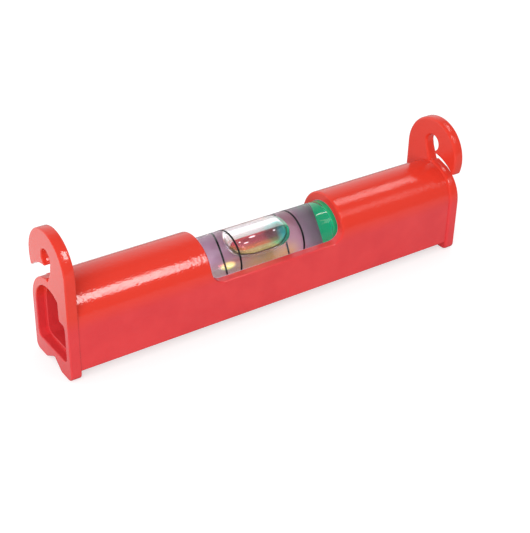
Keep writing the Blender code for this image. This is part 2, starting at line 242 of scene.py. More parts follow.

# Bubble: painted reflections and light that its back side, edge, facing line and far end pick up round it,
# its painted glints as (X, Y, half length, half width), and the pale glow of a painted reflection on its
# crown
SIDE_PAINTED_REFLECTION = (1.0, 0.05, 0.07)
SIDE_SPAN = (-0.95 * MM, -1.15 * MM)
WARM_PAINTED_REFLECTION = (0.98, 0.15, 0.04)
WARM_SPAN = (1.0 * MM, 0.5 * MM)
EDGE_PAINTED_LIGHT = (0.84, 0.76, 0.24)
EDGE_SPAN = (0.40 * MM, 0.15 * MM)
EDGE_FRONT = (-0.5 * MM, -1.5 * MM)
LINE_PAINTED_DARK = (0.10, 0.09, 0.02)
LINE_FACING = 0.27
LINE_SPAN = (0.12, 0.05)
END_PAINTED_REFLECTION = (0.01, 0.74, 0.68)
END_REFLECTION_START = 3.9 * MM
END_REFLECTION_FULL = 2.3 * MM
PAINTED_GLINTS = ((-2.9 * MM, -1.4 * MM, 0.8 * MM, 0.14 * MM), (1.6 * MM, -1.46 * MM, 0.3 * MM, 0.13 * MM),
          (-5.6 * MM, -1.63 * MM, 0.25 * MM, 0.10 * MM), (-4.5 * MM, -1.95 * MM, 0.6 * MM, 0.08 * MM))
GLINT_CORE = 0.6
PAINTED_GLINT_GLOW = 1.2
CROWN_PAINTED_REFLECTION = (0.24, 0.21, 0.18)
CROWN_SPAN = (0.4 * MM, 0.8 * MM)

# Light
LAMP_FOCUS = (0, 0, ARCH_HEIGHT)
AMBIENT = 0.8
BACKDROP_WHITE = 1.0
THROUGH_WHITE = 1.2
STUDIO_DARK = 0.12
DARK_FROM = 0.8
DARK_TO = 0.2
FLOOR_COLOUR = 0.55
FLOOR_GLOW = 0.6
FLOOR_GLEAM = 0.75
GLEAM_BEHIND = (-15 * MM, 30 * MM)
GLEAM_LEFT = (10 * MM, -40 * MM)
FLOOR_ROUGHNESS = 0.9
FLOOR_REACH = 1.5

# Lamps: name, place, size, power, and whether it is a strip along the level for reflections only
LAMPS = (
    ("front_strip", (0.222, -0.402, 0.455), (0.132, 0.24), 1.4, True),
    ("right_strip", (0.44, -0.402, 0.455), (0.09, 0.18), 0.10, True),
    ("top_strip", (0.447, 0.025, 0.6), (0.082, 0.24), 0.33, True),
    ("plug_strip", (0.391, -0.02, 0.6), (0.012, 0.06), 0.02, True),
    ("left_fill", (-0.5, -0.46, 0.27), (0.5, 0.5), 2.85, False),
)


# Flat outlines

def arc(centre, radius, start, end, steps, crown=None):
    """Points on a circle, or on an oval with a crown, from one angle to another in degrees."""
    height = radius if crown is None else crown
    points = []
    for step in range(steps + 1):
        angle = math.radians(start + (end - start) * step / steps)
        points.append((centre[0] + radius * math.cos(angle), centre[1] + height * math.sin(angle)))
    return points


def angle_of(centre, point):
    return math.degrees(math.atan2(point[1] - centre[1], point[0] - centre[0]))


def meeting_point(low_radius, high_radius, distance):
    """Where two circles cross whose centres stand above each other, from the lower centre."""
    height = (low_radius ** 2 - high_radius ** 2 + distance ** 2) / (2 * distance)
    return math.sqrt(low_radius ** 2 - height ** 2), height


def body_outline():
    corner = BODY_EDGE_ROUND
    left, right = -BODY_HALF_WIDTH + corner, BODY_HALF_WIDTH - corner
    points = arc((left, FOOT_HEIGHT + corner), corner, 180, 270, CORNER_STEPS)
    points += arc((right, FOOT_HEIGHT + corner), corner, 270, 360, CORNER_STEPS)
    points += arc((0, ARCH_HEIGHT), BODY_HALF_WIDTH, 0, 180, 2 * ARC_STEPS)
    return points


def flange_outline(half, lip_sink):
    """A flange along X: feet, V groove, arch, string slot, eye and ear."""
    ear_rise = EAR_TOP - half - ARCH_HEIGHT
    lip_end_height = ARCH_HEIGHT + half - lip_sink + LIP_END_RISE
    seat_height = lip_end_height - SEAT_DEPTH
    arch, ear, eye = (0, ARCH_HEIGHT), (0, ARCH_HEIGHT + ear_rise), (0, EYE_HEIGHT)
    points = arc((-half + FOOT_CORNER, FOOT_CORNER), FOOT_CORNER, 180, 270, CORNER_STEPS)
    points.append((-GROOVE_HALF_WIDTH, 0))
    points.append((-GROOVE_SHIFT, GROOVE_DEPTH))
    points.append((GROOVE_HALF_WIDTH, 0))
    points += arc((half - FOOT_CORNER, FOOT_CORNER), FOOT_CORNER, 270, 360, CORNER_STEPS)
    flat_start = math.degrees(math.acos(LIP_FLAT / half))
    points += arc(arch, half, 0, flat_start, ARC_STEPS, half - lip_sink)
    points += [(LIP_END, lip_end_height), (-SEAT_SHIFT, seat_height)]
    eye_start = (-EYE_WALL, EYE_HEIGHT - math.sqrt(EYE_RADIUS ** 2 - EYE_WALL ** 2))
    eye_end = (LOBE_END, EYE_HEIGHT - math.sqrt(EYE_RADIUS ** 2 - LOBE_END ** 2))
    points.append((WALL_LEAN - EYE_WALL, seat_height + SLANT_RISE))
    points += arc(eye, EYE_RADIUS, angle_of(eye, eye_start), angle_of(eye, eye_end) - 360, ARC_STEPS)
    lobe_inner = (LOBE_END, ARCH_HEIGHT + math.sqrt(HOOK_RADIUS ** 2 - LOBE_END ** 2))
    tip_y, tip_z = meeting_point(HOOK_RADIUS, half, ear_rise)
    lobe_tip = (tip_y, ARCH_HEIGHT + tip_z)
    start, end = angle_of(arch, lobe_inner), angle_of(arch, lobe_tip)
    points += arc(arch, HOOK_RADIUS, start, end, ARC_STEPS // 2)
    points += arc(ear, half, angle_of(ear, lobe_tip), 180, 2 * ARC_STEPS)[1:]
    return soften(points, CORNER_REACH)


def opening_outline(inset, padded):
    """The hollow in an end; the near one has a solid pad in its upper front corner."""
    half = OPENING_HALF_WIDTH - inset
    floor = FOOT_HEIGHT + OPENING_FLOOR + inset
    crown = OPENING_CROWN - inset
    points = arc((-half + OPENING_CORNER, floor + OPENING_CORNER), OPENING_CORNER, 180, 270, CORNER_STEPS)
    points += arc((half - OPENING_CORNER, floor + OPENING_CORNER), OPENING_CORNER, 270, 360, CORNER_STEPS)
    last_angle = 180
    if padded:
        last_angle = math.degrees(math.acos(-(PAD_EDGE - inset) / half))
    points += arc((0, ARCH_HEIGHT), half, 0, last_angle, ARC_STEPS, crown)
    if padded:
        pad_floor = ARCH_HEIGHT + PAD_FLOOR - inset
        pad_centre = (-(PAD_EDGE - inset) - PAD_CORNER, pad_floor + PAD_CORNER)
        points += arc(pad_centre, PAD_CORNER, 0, -90, CORNER_STEPS)
        side_centre = (-half + PAD_CORNER, pad_floor - PAD_CORNER)
        points += arc(side_centre, PAD_CORNER, 90, 180, CORNER_STEPS)
    return points


def window_outline():
    half = WINDOW_LENGTH / 2
    sill = ARCH_HEIGHT - SILL_DROP
    top = ARCH_HEIGHT + BODY_HALF_WIDTH + OVERRUN
    points = arc((-half + WINDOW_CORNER, sill + WINDOW_CORNER), WINDOW_CORNER, 180, 270, 2 * CORNER_STEPS)
    points += arc((half - WINDOW_CORNER, sill + WINDOW_CORNER), WINDOW_CORNER, 270, 360, 2 * CORNER_STEPS)
    points += [(half, top), (-half, top)]
    return points


def turns(points):
    """The angle by which a closed outline turns at each of its points; left turns are positive."""
    angles = []
    for index, point in enumerate(points):
        before = point - points[index - 1]
        after = points[(index + 1) % len(points)] - point
        angles.append(-before.angle_signed(after))
    return angles


def soften(points, reach):
    """The closed outline with each sharp corner cut back by a reach, or less beside another, and rounded."""
    points = [Vector(point) for point in points]
    points = [point for index, point in enumerate(points) if (point - points[index - 1]).length > MERGE]
    count = len(points)
    sharp = math.radians(SHARP_TURN)
    corners = [index for index, angle in enumerate(turns(points)) if abs(angle) > sharp]
    sides = [(points[(index + 1) % count] - points[index]).length for index in range(count)]

    def gap(index, step):
        """Length of the outline from a corner to the next one."""
        length = 0
        while True:
            length += sides[index if step > 0 else index - 1]
            index = (index + step) % count
            if index in corners:
                return length

    def walk(index, step, left):
        """The point that lies a distance away from a corner, and the points passed on the way."""
        passed = []
        while True:
            there = (index + step) % count
            side = points[there] - points[index]
            if side.length >= left:
                return points[index] + side * (left / side.length), passed
            left -= side.length
            index = there
            passed.append(there)

    cuts, dropped = {}, set()
    for index in corners:
        own_reach = min(reach, CORNER_SHARE * gap(index, -1), CORNER_SHARE * gap(index, 1))
        start, passed_before = walk(index, -1, own_reach)
        end, passed_after = walk(index, 1, own_reach)
        dropped.update(passed_before + passed_after)
        cuts[index] = (start, points[index], end)
    softened = []
    for index in range(count):
        if index in cuts:
            start, corner, end = cuts[index]
            for step in range(CORNER_STEPS + 1):
                share = step / CORNER_STEPS
                softened.append(start.lerp(corner, share).lerp(corner.lerp(end, share), share))
        elif index not in dropped:
            softened.append(points[index])
    return [(point.x, point.y) for point in softened]


# Meshes

def new_piece(name, mesh):
    piece = bpy.data.objects.new(name, mesh)
    bpy.context.scene.collection.objects.link(piece)
    return piece


def grown(outline, distance):
    """The outline moved outward by a distance, or inward, but never past the centre of a bend."""
    points = [Vector(point) for point in outline]
    count = len(points)
    sides = [points[(index + 1) % count] - points[index] for index in range(count)]
    inward = 1 if distance < 0 else -1
    room = []
    for index, angle in enumerate(turns(points)):
        length = (sides[index - 1].length + sides[index].length) / 2
        room.append(ROOM_SHARE * length / max(angle * inward, math.radians(1)))
    moved = []
    for index, point in enumerate(points):
        near = [room[(index + step) % count] for step in range(-ROOM_REACH, ROOM_REACH + 1)]
        reach = math.copysign(min(abs(distance), *near), distance)
        first, second = (Vector((side.y, -side.x)).normalized() for side in (sides[index - 1], sides[index]))
        moved.append(point + (first + second) * (reach / (1 + first.dot(second))))
    return moved


def piece_of(name, shape):
    """A piece from a finished bmesh, with its faces turned outward."""
    bmesh.ops.recalc_face_normals(shape, faces=shape.faces)
    mesh = bpy.data.meshes.new(name)
    shape.to_mesh(mesh)
    shape.free()
    return new_piece(name, mesh)


def lofted(name, layers, across=True):
    """A closed mesh through outlines of equal length, each at its own place."""
    shape = bmesh.new()
    rings = []
    for place, outline in layers:
        if across:
            rings.append([shape.verts.new((place, point[0], point[1])) for point in outline])
        else:
            rings.append([shape.verts.new((point[0], place, point[1])) for point in outline])
    shape.faces.new(rings[0])
    shape.faces.new(rings[-1])
    count = len(rings[0])
    for first, second in zip(rings, rings[1:]):
        for index in range(count):
            following = (index + 1) % count
            shape.faces.new((first[index], first[following], second[following], second[index]))
    return piece_of(name, shape)


def prism(name, outline, low, high, across=True):
    return lofted(name, [(low, outline), (high, outline)], across)


def rim_layers(outline, face, inward, radius):
    """Layers that round off the rim between a flat face and the sides of an outline."""
    layers = []
    for step in range(ROUND_STEPS + 1):
        angle = math.pi / 2 * step / ROUND_STEPS
        place = face + inward * radius * (1 - math.cos(angle))
        layers.append((place, grown(outline, -radius * (1 - math.sin(angle)))))
    return layers


def flared(name, outline, face, inward, end, radius):
    """A cutter whose mouth widens at a face, so that it leaves a rounded edge there."""
    layers = [(face - inward * OVERRUN, grown(outline, radius))]
    for step in range(ROUND_STEPS + 1):
        angle = math.pi / 2 * step / ROUND_STEPS
        place = face + inward * radius * (1 - math.cos(angle))
        layers.append((place, grown(outline, radius * (1 - math.sin(angle)))))
    layers.append((end, outline))
    return lofted(name, layers)


def rod(name, radius, low, high):
    outline = arc((0, ARCH_HEIGHT), radius, 0, 360, TURN_STEPS)[:-1]
    return prism(name, outline, low, high)


def combine(target, tool, operation):
    modifier = target.modifiers.new(operation, "BOOLEAN")
    modifier.operation = operation
    modifier.solver = "EXACT"
    modifier.object = tool


def settled(piece):
    """The piece's mesh with its modifiers applied."""
    bpy.context.view_layer.update()
    evaluated = piece.evaluated_get(bpy.context.evaluated_depsgraph_get())
    return bpy.data.meshes.new_from_object(evaluated)


def skin(shape, rings):
    """Faces between rings of points; a ring of one point closes an end."""
    for first, second in zip(rings, rings[1:]):
        count = max(len(first), len(second))
        for step in range(count):
            following = (step + 1) % count
            corners = [first[step % len(first)], first[following % len(first)],
                       second[following % len(second)], second[step % len(second)]]
            shape.faces.new(dict.fromkeys(corners))


def turned(name, profile):
    """A closed profile of (radius, place along X) points, turned about the vial's axis."""
    shape = bmesh.new()
    rings = []
    for radius, along in profile:
        ring = []
        for step in range(TURN_STEPS if radius else 1):
            angle = 2 * math.pi * step / TURN_STEPS
            ring.append(shape.verts.new(
                (along, radius * math.cos(angle), ARCH_HEIGHT + radius * math.sin(angle))))
        rings.append(ring)
    skin(shape, rings)
    return piece_of(name, shape)


def shade(piece, material):
    piece.data.materials.clear()
    piece.data.materials.append(material)
    piece.data.shade_smooth()
    piece.data.set_sharp_from_angle(angle=math.radians(SMOOTH_TURN))


def steady_normals(piece):
    """Let the large faces set the shading, so that a rounded edge doesn't bend the light beside it."""
    modifier = piece.modifiers.new("steady", "WEIGHTED_NORMAL")
    modifier.keep_sharp = True
    mesh = settled(piece)
    piece.modifiers.clear()
    piece.data = mesh


def flange(name, half, lip_sink, inner_round):
    """A flange at the near end, with both of its rims rounded."""
    outline = flange_outline(half, lip_sink)
    inner_face = -HALF_LENGTH + FLANGE_THICKNESS
    layers = rim_layers(outline, -HALF_LENGTH, 1, OUTER_ROUND)
    layers += reversed(rim_layers(outline, inner_face, -1, inner_round))
    return lofted(name, layers)


def build_housing(material):
    inner_face = HALF_LENGTH - FLANGE_THICKNESS
    body_end = inner_face + BODY_OVERLAP
    body = prism("red_housing", body_outline(), -body_end, body_end)
    near = flange("near_flange", FLANGE_HALF_WIDTH, LIP_SINK, INNER_ROUND)
    far = flange("far_flange", FAR_FLANGE_HALF_WIDTH, FAR_LIP_SINK, FAR_INNER_ROUND)
    far.data.transform(Matrix.Rotation(math.pi, 4, "Z"))
    for end in (near, far):
        combine(body, end, "UNION")
    side = BODY_HALF_WIDTH + OVERRUN
    mouth_end = -HALF_LENGTH + NEAR_MOUTH_DEPTH
    cuts = [
        prism("window", window_outline(), -side, side, across=False),
        rod("bore", VIAL_RADIUS + SEAT_GAP, VIAL_LOW[0] - BORE_GAP, HALF_LENGTH + OVERRUN / 2),
        flared("near_mouth", opening_outline(0, True), -HALF_LENGTH, 1, mouth_end, MOUTH_ROUND),
        flared("near_hollow", opening_outline(HOLLOW_STEP, True), mouth_end, 1, -BULKHEAD_END, STEP_ROUND),
        flared("far_hollow", opening_outline(0, False), HALF_LENGTH, -1, BULKHEAD_END, MOUTH_ROUND),
    ]
    for cut in cuts:
        combine(body, cut, "DIFFERENCE")
    mesh = settled(body)
    round_window_edge(mesh)
    housing = new_piece("red_housing_moulding", mesh)
    for tool in [near, far, body] + cuts:
        bpy.data.objects.remove(tool)
    shade(housing, material)
    steady_normals(housing)
    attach(housing, "level")
    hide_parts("housing")


def round_window_edge(mesh):
    """Round the edge where the window breaks through the outside of the body."""
    half = WINDOW_LENGTH / 2
    sill = ARCH_HEIGHT - SILL_DROP
    shape = bmesh.new()
    shape.from_mesh(mesh)
    bmesh.ops.remove_doubles(shape, verts=shape.verts, dist=WINDOW_MERGE)

    def on_outside(point):
        out = abs(point.y)
        if point.z > ARCH_HEIGHT:
            out = math.hypot(point.y, point.z - ARCH_HEIGHT)
        return abs(out - BODY_HALF_WIDTH) < WINDOW_TOUCH

    edges = []
    for edge in shape.edges:
        middle = (edge.verts[0].co + edge.verts[1].co) / 2
        if abs(middle.x) > half + WINDOW_TOUCH or middle.z < sill - WINDOW_TOUCH:
            continue
        if len(edge.link_faces) != 2:
            continue
        if not all(on_outside(vertex.co) for vertex in edge.verts):
            continue
        if edge.calc_face_angle_signed() > math.radians(SHARP_TURN):
            edges.append(edge)
    bmesh.ops.bevel(shape, geom=edges, offset=WINDOW_ROUND, segments=ROUND_STEPS,
                    profile=ROUND_PROFILE, affect="EDGES", clamp_overlap=False)
    shape.to_mesh(mesh)
    shape.free()


# Materials

def principled(name):
    material = bpy.data.materials.new(name)
    material.use_nodes = True
    return material, material.node_tree, material.node_tree.nodes["Principled BSDF"]


def add(tree, kind, links=None, values=None, **properties):
    """A shader node with its properties, its plain input values and the outputs that feed it."""
    made = tree.nodes.new(kind)
    for key, value in properties.items():
        setattr(made, key, value)
    for key, value in (values or {}).items():
        made.inputs[key].default_value = value
    for key, output in (links or {}).items():
        tree.links.new(output, made.inputs[key])
    return made


def group_of(name, kind, inputs, outputs):
    """A node group with named sockets, its inputs and its output node."""
    tree = bpy.data.node_groups.new(name, kind)
    for way, sockets in (("INPUT", inputs), ("OUTPUT", outputs)):
        for socket, value in sockets:
            tree.interface.new_socket(socket, in_out=way, socket_type="NodeSocket" + value)
    enter = tree.nodes.new("NodeGroupInput").outputs
    leave = tree.nodes.new("NodeGroupOutput").inputs
    return tree, enter, leave


def grain_group():
    """Fine moulded texture: a height for a bump, and a mask that varies slowly."""
    tree, enter, leave = group_of(
        "moulded_grain", "ShaderNodeTree",
        [("Vector", "Vector"), ("Grain", "Float"), ("Pits", "Float"), ("Cloud", "Float")],
        [("Height", "Float"), ("Mask", "Float")])
    grain = add(tree, "ShaderNodeTexNoise", {"Vector": enter["Vector"], "Scale": enter["Grain"]},
                {"Detail": GRAIN_DETAIL, "Roughness": GRAIN_ROUGHNESS})
    pits = add(tree, "ShaderNodeTexVoronoi", {"Vector": enter["Vector"], "Scale": enter["Pits"]},
               feature="SMOOTH_F1")
    cloud = add(tree, "ShaderNodeTexNoise", {"Vector": enter["Vector"], "Scale": enter["Cloud"]},
                {"Detail": GRAIN_DETAIL, "Roughness": CLOUD_ROUGHNESS})
    both = calc(tree, "ADD", grain.outputs["Fac"], pits.outputs["Distance"])
    tree.links.new(both, leave["Height"])
    tree.links.new(rising(tree, cloud.outputs["Fac"], *CLOUD_SPAN), leave["Mask"])
    return tree


def oval_group():
    """A soft oval mask on two coordinates, whole within a core and gone at the oval's edge."""
    names = ("First", "Second", "First Middle", "Second Middle", "First Half", "Second Half", "Core")
    tree, enter, leave = group_of(
        "soft_oval", "ShaderNodeTree", [(name, "Float") for name in names], [("Mask", "Float")])
    shares = []
    for name in ("First", "Second"):
        off_middle = calc(tree, "SUBTRACT", enter[name], enter[name + " Middle"])
        shares.append(calc(tree, "DIVIDE", off_middle, enter[name + " Half"]))
    mask = add(tree, "ShaderNodeMapRange", {"Value": length_of(tree, *shares), "From Max": enter["Core"]},
               {"From Min": 1.0}, interpolation_type="SMOOTHSTEP")
    tree.links.new(mask.outputs["Result"], leave["Mask"])
    return tree


def placed(tree, group, links=None, values=None):
    """A group set in a material, with its own values, and its outputs."""
    return add(tree, "ShaderNodeGroup", links, values, node_tree=group).outputs


def textured(name, grain, colours, roughness, scales, bump):
    """A material whose colour and roughness drift between two values, with a bump of its own grain."""
    material, tree, shader = principled(name)
    coords = add(tree, "ShaderNodeTexCoord").outputs["Object"]
    texture = placed(tree, grain, {"Vector": coords}, dict(zip(("Grain", "Pits", "Cloud"), scales)))
    colour = mixed(tree, texture["Mask"], *colours)
    tree.links.new(colour, shader.inputs["Base Color"])
    rough = add(tree, "ShaderNodeMapRange", {"Value": texture["Mask"]},
                {"To Min": roughness[0], "To Max": roughness[1]})
    tree.links.new(rough.outputs["Result"], shader.inputs["Roughness"])
    relief = add(tree, "ShaderNodeBump", {"Height": texture["Height"]}, {"Strength": 1.0, "Distance": bump})
    tree.links.new(relief.outputs["Normal"], shader.inputs["Normal"])
    return material, tree, shader, colour


def calc(tree, operation, *terms):
    """The output of a math node; each term is a number or another node's output."""
    made = add(tree, "ShaderNodeMath", operation=operation)
    for index, term in enumerate(terms):
        if isinstance(term, (int, float)):
            made.inputs[index].default_value = term
        else:
            tree.links.new(term, made.inputs[index])
    return made.outputs[0]


def any_of(tree, first, second):
    return calc(tree, "MAXIMUM", first, second)


def both_of(tree, first, second):
    return calc(tree, "MULTIPLY", first, second)


def mixed(tree, mask, below, colour):
    """A colour laid over another where a mask says so; each is a plain colour or an output."""
    made = add(tree, "ShaderNodeMix", {"Factor": mask}, data_type="RGBA")
    for key, value in (("A", below), ("B", colour)):
        if isinstance(value, tuple):
            made.inputs[key].default_value = (*value, 1)
        else:
            tree.links.new(value, made.inputs[key])
    return made.outputs["Result"]


def rising(tree, value, start, end):
    """A mask that rises smoothly while a value goes from one number to another."""
    return add(tree, "ShaderNodeMapRange", {"Value": value}, {"From Min": start, "From Max": end},
               interpolation_type="SMOOTHSTEP").outputs["Result"]


def places(tree):
    """The coordinates of a point of the piece, each on its own output."""
    coords = add(tree, "ShaderNodeTexCoord").outputs["Object"]
    return add(tree, "ShaderNodeSeparateXYZ", {"Vector": coords}).outputs


def length_of(tree, first, second):
    across = add(tree, "ShaderNodeCombineXYZ", {"X": first, "Y": second}).outputs["Vector"]
    return add(tree, "ShaderNodeVectorMath", {0: across}, operation="LENGTH").outputs["Value"]


def oval(tree, ovals, first, second, shape, core):
    """A soft oval mask; the shape is the two places of its centre and its two half lengths."""
    names = ("First Middle", "Second Middle", "First Half", "Second Half", "Core")
    return placed(tree, ovals, {"First": first, "Second": second}, dict(zip(names, (*shape, core))))["Mask"]


def bore_light(tree, ovals):
    """Where the bore shows in the window, the painted reflections and light on it there, and its painted
    caustic spot.
    """
    place = places(tree)
    rise = calc(tree, "SUBTRACT", place["Z"], ARCH_HEIGHT)
    along = calc(tree, "ABSOLUTE", place["X"])
    reach = VIAL_RADIUS + SEAT_GAP + BORE_TOUCH
    near_wall = calc(tree, "LESS_THAN", length_of(tree, place["Y"], rise), reach)
    bore = both_of(tree, near_wall, calc(tree, "LESS_THAN", along, WINDOW_LENGTH / 2 + BORE_GAP))
    past_near = rising(tree, place["X"], *BORE_MIDDLE_SPAN)
    tint = mixed(tree, past_near, BORE_PAINTED_NEAR, BORE_PAINTED_MIDDLE)
    tint = mixed(tree, rising(tree, place["X"], *BORE_FAR_SPAN), tint, BORE_PAINTED_FAR)
    low = both_of(tree, rising(tree, rise, *BORE_LOW_SPAN), rising(tree, place["X"], *BORE_LOW_REACH))
    tint = mixed(tree, low, tint, mixed(tree, past_near, BORE_PAINTED_LOW_NEAR, BORE_PAINTED_LOW))
    # the painted caustic spot, on the back half of the bore only
    shape = (SPOT_PLACE, -SPOT_DROP, SPOT_HALF_LENGTH, SPOT_HALF_HEIGHT)
    spot = both_of(tree, oval(tree, ovals, place["X"], rise, shape, SPOT_CORE), bore)
    return bore, tint, both_of(tree, spot, calc(tree, "GREATER_THAN", place["Y"], 0))


def red_moulding(grain, ovals):
    material, tree, shader, colour = textured(
        "red_moulding", grain, RED_COLOURS, RED_ROUGHNESS, RED_SCALES, RED_BUMP)
    shader.inputs["IOR"].default_value = MOULDING_IOR
    # painted light: above the arch the red turns warmer, for warm light falling from the top
    above = rising(tree, places(tree)["Z"], ARCH_HEIGHT + TOP_LIGHT_START, ARCH_HEIGHT + TOP_LIGHT_END)
    outside = mixed(tree, above, colour, RED_PAINTED_TOP_LIGHT)
    bore, tint, spot = bore_light(tree, ovals)
    # painted reflections and light: in the window the bore takes its painted tints as base colour, a share
    # of them glows, and the painted caustic spot glows over that
    tree.links.new(mixed(tree, bore, outside, tint), shader.inputs["Base Color"])
    painted_glow = mixed(tree, both_of(tree, bore, BORE_PAINTED_GLOW), (0, 0, 0), tint)
    tree.links.new(mixed(tree, spot, painted_glow, PAINTED_CAUSTIC_COLOUR), shader.inputs["Emission Color"])
    shader.inputs["Emission Strength"].default_value = PAINTED_CAUSTIC_GLOW
    return material


def clear_acrylic(grain):
    material, _, shader, _ = textured(
        "clear_acrylic", grain, ACRYLIC_COLOURS, ACRYLIC_ROUGHNESS, CLEAR_SCALES, ACRYLIC_BUMP)
    shader.inputs["IOR"].default_value = ACRYLIC_IOR
    shader.inputs["Transmission Weight"].default_value = 1.0
    return material


def spirit_fill(grain):
    """Clear spirit with a faint lilac cast."""
    material, _, shader, _ = textured(
        "spirit", grain, SPIRIT_COLOURS, SPIRIT_ROUGHNESS, CLEAR_SCALES, SPIRIT_BUMP)
    shader.inputs["IOR"].default_value = SPIRIT_IOR / ACRYLIC_IOR
    shader.inputs["Transmission Weight"].default_value = SPIRIT_CLARITY
    return material


def air_bubble(grain, ovals, far_end):
    """Air, with painted reflections and light from the red bore, the spirit and the plug on its sides, edge
    and far end.
    """
    material, tree, shader, colour = textured(
        "air", grain, AIR_COLOURS, AIR_ROUGHNESS, CLEAR_SCALES, SPIRIT_BUMP)
    place = places(tree)
    rise = calc(tree, "SUBTRACT", place["Z"], ARCH_HEIGHT + BUBBLE_AXIS_RISE)
    # painted reflections and light on the bubble: the red bore on its back side and warm light low on it, a
    # yellow band of focused light on its front edge, the green plug at its far end, and a painted dark line
    # where its skin turns edge-on
    side = rising(tree, place["Y"], *SIDE_SPAN)
    tint = mixed(tree, side, colour, SIDE_PAINTED_REFLECTION)
    tint = mixed(tree, both_of(tree, side, rising(tree, rise, *WARM_SPAN)), tint, WARM_PAINTED_REFLECTION)
    front = rising(tree, place["Y"], *EDGE_FRONT)
    tint = mixed(tree, both_of(tree, front, rising(tree, rise, *EDGE_SPAN)), tint, EDGE_PAINTED_LIGHT)
    end = rising(tree, place["X"], far_end - END_REFLECTION_START, far_end - END_REFLECTION_FULL)
    tint = mixed(tree, end, tint, END_PAINTED_REFLECTION)
    facing = add(tree, "ShaderNodeLayerWeight").outputs["Facing"]
    from_line = calc(tree, "ABSOLUTE", calc(tree, "SUBTRACT", facing, LINE_FACING))
    tint = mixed(tree, both_of(tree, front, rising(tree, from_line, *LINE_SPAN)), tint, LINE_PAINTED_DARK)
    tree.links.new(tint, shader.inputs["Base Color"])
    # painted glints: small white highlights that glow on the bubble's upper side
    glints = 0.0
    for shape in PAINTED_GLINTS:
        glints = any_of(tree, glints, oval(tree, ovals, place["X"], place["Y"], shape, GLINT_CORE))
    glints = both_of(tree, glints, calc(tree, "GREATER_THAN", rise, 0))
    # painted reflection: a pale glow on the crown for the white that it mirrors
    crown = mixed(tree, side, CROWN_PAINTED_REFLECTION, (0, 0, 0))
    crown = mixed(tree, rising(tree, rise, *CROWN_SPAN), (0, 0, 0), crown)
    tree.links.new(mixed(tree, glints, crown, (1, 1, 1)), shader.inputs["Emission Color"])
    shader.inputs["Emission Strength"].default_value = PAINTED_GLINT_GLOW
    shader.inputs["IOR"].default_value = 1 / SPIRIT_IOR
    shader.inputs["Transmission Weight"].default_value = AIR_CLARITY
    return material


def green_plastic(grain):
    material, _, shader, _ = textured(
        "green_plug", grain, GREEN_COLOURS, GREEN_ROUGHNESS, RED_SCALES, GREEN_BUMP)
    shader.inputs["Specular IOR Level"].default_value = GREEN_SPECULAR
    # painted glow: green light of the plug's own, though it is no lamp
    shader.inputs["Emission Color"].default_value = (*PLUG_PAINTED_GLOW, 1)
    shader.inputs["Emission Strength"].default_value = PLUG_PAINTED_GLOW_STRENGTH
    return material


def black_ink(grain):
    material, _, shader, _ = textured(
        "black_ink", grain, INK_COLOURS, INK_ROUGHNESS, RED_SCALES, INK_BUMP)
    shader.inputs["Specular IOR Level"].default_value = INK_SPECULAR
    return material


# Vial

def dress(piece, material, body, node):
    """Give a piece its material, say what carries it, and hide the solid that it stands for."""
    shade(piece, material)
    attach(piece, body)
    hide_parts(node)


def build_vial(grain, ovals):
    low, high = VIAL_LOW[0], VIAL_HIGH[0]
    plug_low = PLUG_LOW[0]
    chamber_low = low + CLOSED_END
    barrel = turned("acrylic_barrel", [
        (0, low), (VIAL_RADIUS - VIAL_CHAMFER, low), (VIAL_RADIUS, low + VIAL_CHAMFER),
        (VIAL_RADIUS, high - VIAL_CHAMFER), (VIAL_RADIUS - VIAL_CHAMFER, high), (CHAMBER_RADIUS, high),
        (CHAMBER_RADIUS, plug_low + PLUG_PROUD), (0, plug_low + PLUG_PROUD)])
    dress(barrel, clear_acrylic(grain), "level", "vial_barrel")

    fluid = turned("spirit_fill", [
        (0, chamber_low), (CHAMBER_RADIUS, chamber_low), (CHAMBER_RADIUS, plug_low), (0, plug_low)])
    dress(fluid, spirit_fill(grain), "level", "vial_fluid")

    plug_radius = CHAMBER_RADIUS + PLUG_FIT
    plug_face = plug_low - PLUG_PROUD
    recess = plug_radius * PLUG_RECESS_SHARE
    floor = high - PLUG_RECESS_DEPTH
    plug = turned("green_end_plug", [
        (0, plug_face), (plug_radius - PLUG_CHAMFER, plug_face), (plug_radius, plug_face + PLUG_CHAMFER),
        (plug_radius, high), (recess, high), (recess, floor), (0, floor)])
    dress(plug, green_plastic(grain), "level", "vial_plug")

    ink = black_ink(grain)
    tree = ring_tree()
    for count, node in enumerate(("ring_near", "ring_far")):
        dress(printed_ring(tree, node, ink, RING_SEED + count), ink, "level", node)
    bubble_low, bubble_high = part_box("bubble")
    bubble = build_bubble(bubble_low[0], bubble_high[0])
    dress(bubble, air_bubble(grain, ovals, bubble_high[0]), "bubble", "bubble")


